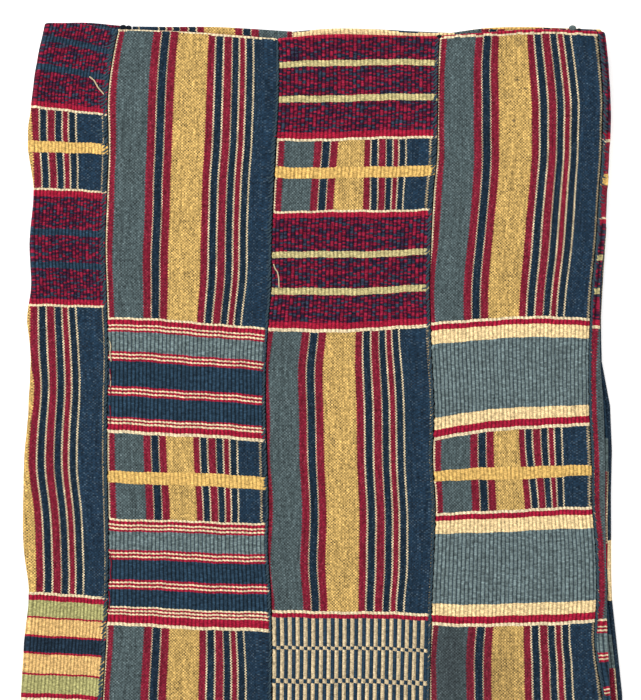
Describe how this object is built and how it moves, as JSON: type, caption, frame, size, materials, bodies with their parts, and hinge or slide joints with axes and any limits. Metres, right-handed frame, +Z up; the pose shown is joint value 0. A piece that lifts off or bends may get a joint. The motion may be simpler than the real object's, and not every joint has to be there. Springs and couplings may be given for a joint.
{
  "type": "folded strip-woven cloth",
  "caption": "Cotton cloth of narrow woven strips sewn edge to edge, folded at the top and then into panels, lying flat to be stored, shown or worn as a wrapper.",
  "frame": {"origin": "middle of the base of the folded cloth, on the surface that it lies on", "axes": "+X across the strips, to the right as the front panel is seen from above; +Y along the strips, towards the top fold; +Z up, out of the front panel"},
  "size_m": [0.378, 0.9052, 0.0158],
  "materials": {
    "woven_cotton": "matte, with weft ribs"
  },
  "bodies": {
    "root": {"strip_01": "woven_cotton", "strip_02": "woven_cotton", "strip_03": "woven_cotton", "strip_04": "woven_cotton", "strip_05": "woven_cotton", "strip_06": "woven_cotton", "strip_07": "woven_cotton", "strip_08": "woven_cotton", "strip_09": "woven_cotton", "strip_10": "woven_cotton", "strip_11": "woven_cotton", "strip_12": "woven_cotton", "strip_13": "woven_cotton"}
  },
  "joints": []
}
